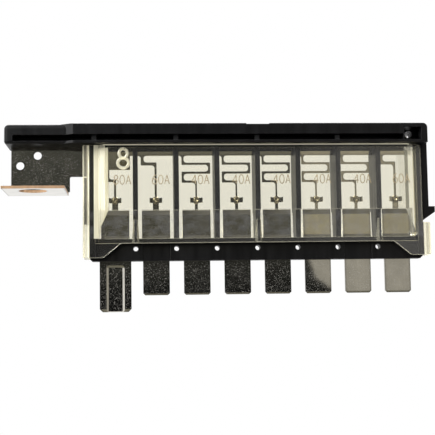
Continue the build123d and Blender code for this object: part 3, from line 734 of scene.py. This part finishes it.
class RowLook(bpy.types.PropertyGroup):
    black: FloatVectorProperty(name="Black moulding", description="Colour of the housing",
                               default=linear("#0D0D0E"), **COLOUR)
    # Colour of the painted highlight on the rail's edges, slot ribs, slanted step and bore wall
    painted_highlight: FloatVectorProperty(name="Rubbed moulding", description="Colour where the mould has rubbed it",
                                default=linear("#DADADC"), **COLOUR)
    tin: FloatVectorProperty(name="Tin", description="Colour of the plated sheet",
                             default=linear("#DAD6CC"), **COLOUR)
    copper: FloatVectorProperty(name="Copper", description="Colour of the sheared edges",
                                default=linear("#D8A878"), **COLOUR)
    cover: FloatVectorProperty(name="Clear cover", description="Tint of the clear covers",
                               default=linear("#FBF9EF"), **COLOUR)
    pellet: FloatVectorProperty(name="Cast tin", description="Colour of the pellets",
                                default=linear("#E2D8BC"), **COLOUR)
    mould_shine: FloatProperty(name="Mould shine", description="Strength of the moulding's reflections",
                               default=0.15)
    mould_grain: FloatProperty(name="Mould grain", description="Size of the moulded grain",
                               default=0.25 * MM, **LENGTH)
    mould_streak: FloatProperty(name="Mould streaks", description="Spacing of the flow streaks",
                                default=1.6 * MM, **LENGTH)
    mould_edge: FloatProperty(name="Mould edge", description="Radius of the moulding's edges",
                              default=0.15 * MM, **LENGTH)
    tin_specks: FloatProperty(name="Tin specks", description="Most of the light that the specks scatter",
                              default=0.48)
    speck_grey: FloatProperty(name="Speck grey", description="Brightness of a matt speck against the tin",
                              default=0.55)
    tin_gloss: FloatProperty(name="Tin gloss", description="Least roughness of the plating", default=0.03)
    tin_bump: FloatProperty(name="Tin bump", description="Strength of the plating's grain", default=0.02)
    tin_grain: FloatProperty(name="Tin grain", description="Size of the plating's grain",
                             default=0.28 * MM, **LENGTH)
    tin_patch: FloatProperty(name="Tin patches", description="Size of the patches with more or fewer specks",
                             default=2.5 * MM, **LENGTH)
    tin_flow: FloatProperty(name="Tin flow", description="Size of the clouds that the flowed tin leaves",
                            default=4.0 * MM, **LENGTH)
    # How far in from an edge the tin is darkened
    tin_edge: FloatProperty(name="Tin edge", description="How far in from an edge the roll-over shows",
                            default=1.0 * MM, **LENGTH)
    channel_x: FloatProperty(name="Channel middle", description="Middle of the main blade's channel",
                             default=23.5 * MM, **LENGTH)
    # Share of the pads' painted reflection bands
    painted_pad_reflection: FloatProperty(name="Pad hems", description="Share of light that the pads' pressed hems scatter",
                       subtype="FACTOR", default=0.85)
    rolling_line: FloatProperty(name="Rolling lines", description="Spacing of the strip's rolling lines",
                                default=0.7 * MM, **LENGTH)
    cover_haze: FloatProperty(name="Cover haze", description="Share of light that the covers scatter",
                              default=0.04)
    cover_cloud: FloatProperty(name="Cover clouds", description="Size of the clouds in the slope's haze",
                               default=2.2 * MM, **LENGTH)
    cover_wave: FloatProperty(name="Cover waves", description="Spacing of the cover's faint waves",
                              default=6 * MM, **LENGTH)
    cover_streak: FloatProperty(name="Cover streaks", description="Spacing of the streaks in a glowing side",
                                default=0.6 * MM, **LENGTH)
    cover_edge: FloatProperty(name="Cover edge", description="Width of the bright line along an edge",
                              default=0.25 * MM, **LENGTH)
    # Strength of the painted highlight line along a cover's edge
    painted_edge_line: FloatProperty(name="Edge line", description="Glow of the line along an edge", default=0.2)
    # Strength of the painted glow's emission
    painted_glow_power: FloatProperty(name="Inner light", description="Light that a glowing edge passes on",
                               default=0.2)
    kink_level: FloatProperty(name="Kink level", description="Height of the bend across the domed face",
                              default=-5.5 * MM, **LENGTH)
    pellet_dimple: FloatProperty(name="Pellet dimples", description="Spacing of the pellets' dimples",
                                 default=0.5 * MM, **LENGTH)


class MarkSettings(bpy.types.PropertyGroup):
    height: FloatProperty(name="Figure height", description="Height of the ratings",
                          default=2.7 * MM, **LENGTH)
    width: FloatProperty(name="Figure width", description="Width of each figure",
                         default=1.4 * MM, **LENGTH)
    step: FloatProperty(name="Figure step", description="Distance from one figure to the next",
                        default=1.85 * MM, **LENGTH)
    stroke: FloatProperty(name="Stroke", description="Width of a raised stroke",
                          default=0.28 * MM, **LENGTH)
    rise: FloatProperty(name="Rise", description="How far a stroke stands proud of the cover's face",
                        default=0.12 * MM, **LENGTH)
    level: FloatProperty(name="Level", description="Height of the ratings' feet",
                         default=2.3 * MM, **LENGTH)
    large_x: FloatProperty(name="Large figure X", description="Left side of the large figure",
                           default=24.4 * MM, **LENGTH)
    large_z: FloatProperty(name="Large figure Z", description="Foot of the large figure",
                           default=7.2 * MM, **LENGTH)
    large_width: FloatProperty(name="Large figure width", description="Width between stroke centres",
                               default=3.4 * MM, **LENGTH)
    large_height: FloatProperty(name="Large figure height", description="Height between stroke centres",
                                default=5.8 * MM, **LENGTH)
    large_stroke: FloatProperty(name="Large stroke", description="Width of the large figure's stroke",
                                default=1.0 * MM, **LENGTH)
    large_rise: FloatProperty(name="Large rise", description="Height of the large figure's stroke",
                              default=0.3 * MM, **LENGTH)
    # Share of the painted cream glow on the large figure
    large_painted_glow: FloatProperty(name="Large glow", description="How much light the large figure gathers",
                              default=0.35)


# Operators

class FUSEROW_OT_stage(bpy.types.Operator):
    """Adds the camera, the soft lamps, the white surroundings, the floor and the cards behind the camera"""
    bl_idname = "fuse_row.stage"
    bl_label = "Stage"

    def execute(self, context):
        studio = context.scene.fuse_row_studio
        set_camera(context.scene, studio)
        set_surroundings(context.scene, studio)
        low, high = cad_box
        centre = (low + high) / 2
        for name, place, size, power in LAMPS:
            add_lamp(name, centre + Vector(place), centre, size, power)
        floor_z = low.z - studio.floor_drop
        add_floor(studio, floor_z)
        add_cards(studio, floor_z)
        return {"FINISHED"}


class FUSEROW_OT_housing(bpy.types.Operator):
    """Finishes the black moulding"""
    bl_idname = "fuse_row.housing"
    bl_label = "Housing"

    def execute(self, context):
        mark_painted_highlight_faces(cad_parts["housing"].data)
        dress("housing", moulded_black_pbt(context.scene.fuse_row_look))
        return {"FINISHED"}


class FUSEROW_OT_stamping(bpy.types.Operator):
    """Finishes the tinned stamping and its sheared copper edges"""
    bl_idname = "fuse_row.stamping"
    bl_label = "Stamping"

    def execute(self, context):
        mark_sheared_faces(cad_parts["fuse_plate"].data)
        dress("fuse_plate", tinned_copper_sheet(context.scene.fuse_row_look))
        return {"FINISHED"}


class FUSEROW_OT_covers(bpy.types.Operator):
    """Finishes the two clear covers"""
    bl_idname = "fuse_row.covers"
    bl_label = "Covers"

    def execute(self, context):
        material = clear_moulded_cover(context.scene.fuse_row_look, *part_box("front_cover"))
        for name in ("front_cover", "rear_cover"):
            mark_painted_glow_faces(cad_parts[name].data, *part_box(name))
            dress(name, material)
        return {"FINISHED"}


class FUSEROW_OT_pellets(bpy.types.Operator):
    """Adds the cast tin pellets in the claws"""
    bl_idname = "fuse_row.pellets"
    bl_label = "Pellets"

    def execute(self, context):
        material = cast_tin(context.scene.fuse_row_look)
        for number in range(1, CELLS + 1):
            node = "tin_pellet_%d" % number
            low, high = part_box(node)
            points = pellet_surface((low + high) / 2, high - low)
            pellet = grid_piece("cast_pellet_%d" % number, points, wrap_around=True)
            pellet.data.materials.append(material)
            belongs(pellet, "cast_tin", node)
        return {"FINISHED"}


class FUSEROW_OT_marks(bpy.types.Operator):
    """Adds the plain rating figures and the large figure on the front cover"""
    bl_idname = "fuse_row.marks"
    bl_label = "Marks"

    def execute(self, context):
        marks = context.scene.fuse_row_marks
        face_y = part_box("front_cover")[0].y
        material = raised_mark(context.scene.fuse_row_look)
        for number, (text, start) in enumerate(RATINGS, start=1):
            strokes = []
            for i, figure in enumerate(text):
                corner = (start * MM + i * marks.step, marks.level)
                for path, closed in figure_strokes(figure):
                    path = stroke_path(path, closed) * (marks.width, marks.height) + corner
                    strokes.append(raised_stroke(path, closed, face_y, marks.stroke, marks.rise))
            mark = joined("rating_%d" % number, strokes)
            mark.data.materials.append(material)
            belongs(mark, "clear_cover")
        corner, size = (marks.large_x, marks.large_z), (marks.large_width, marks.large_height)
        figure = joined("large_figure", [
            raised_stroke(stroke_path(path, closed) * size + corner, closed, face_y, marks.large_stroke,
                          marks.large_rise) for path, closed in figure_strokes("8")])
        # The large figure gets the painted cream glow
        set_face_shares(figure.data, "painted_edge_glow", np.full(len(figure.data.polygons), marks.large_painted_glow))
        figure.data.materials.append(bpy.data.materials["clear_moulded_cover"])
        belongs(figure, "clear_cover")
        return {"FINISHED"}


class FUSEROW_PT_panel(bpy.types.Panel):
    bl_idname = "FUSEROW_PT_panel"
    bl_label = "Fuse row"
    bl_space_type = "VIEW_3D"
    bl_region_type = "UI"
    bl_category = "Fuse row"

    def draw(self, context):
        for operator in OPERATORS:
            self.layout.operator(operator.bl_idname)
        for group, settings in SETTINGS.items():
            box = self.layout.box()
            for name in settings.__annotations__:
                box.prop(getattr(context.scene, group), name)


SETTINGS = {"fuse_row_studio": StudioSettings, "fuse_row_look": RowLook, "fuse_row_marks": MarkSettings}
OPERATORS = (FUSEROW_OT_stage, FUSEROW_OT_housing, FUSEROW_OT_stamping, FUSEROW_OT_covers,
             FUSEROW_OT_pellets, FUSEROW_OT_marks)


def register():
    for cls in (*SETTINGS.values(), *OPERATORS, FUSEROW_PT_panel):
        bpy.utils.register_class(cls)
    for group, settings in SETTINGS.items():
        setattr(bpy.types.Scene, group, PointerProperty(type=settings))


def unregister():
    for group in SETTINGS:
        delattr(bpy.types.Scene, group)
    for cls in (FUSEROW_PT_panel, *reversed(OPERATORS), *SETTINGS.values()):
        bpy.utils.unregister_class(cls)


def main():
    """Registers the add-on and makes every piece."""
    register()
    bpy.ops.fuse_row.stage()
    bpy.ops.fuse_row.housing()
    bpy.ops.fuse_row.stamping()
    bpy.ops.fuse_row.covers()
    bpy.ops.fuse_row.pellets()
    bpy.ops.fuse_row.marks()


if __name__ == "__main__":
    main()
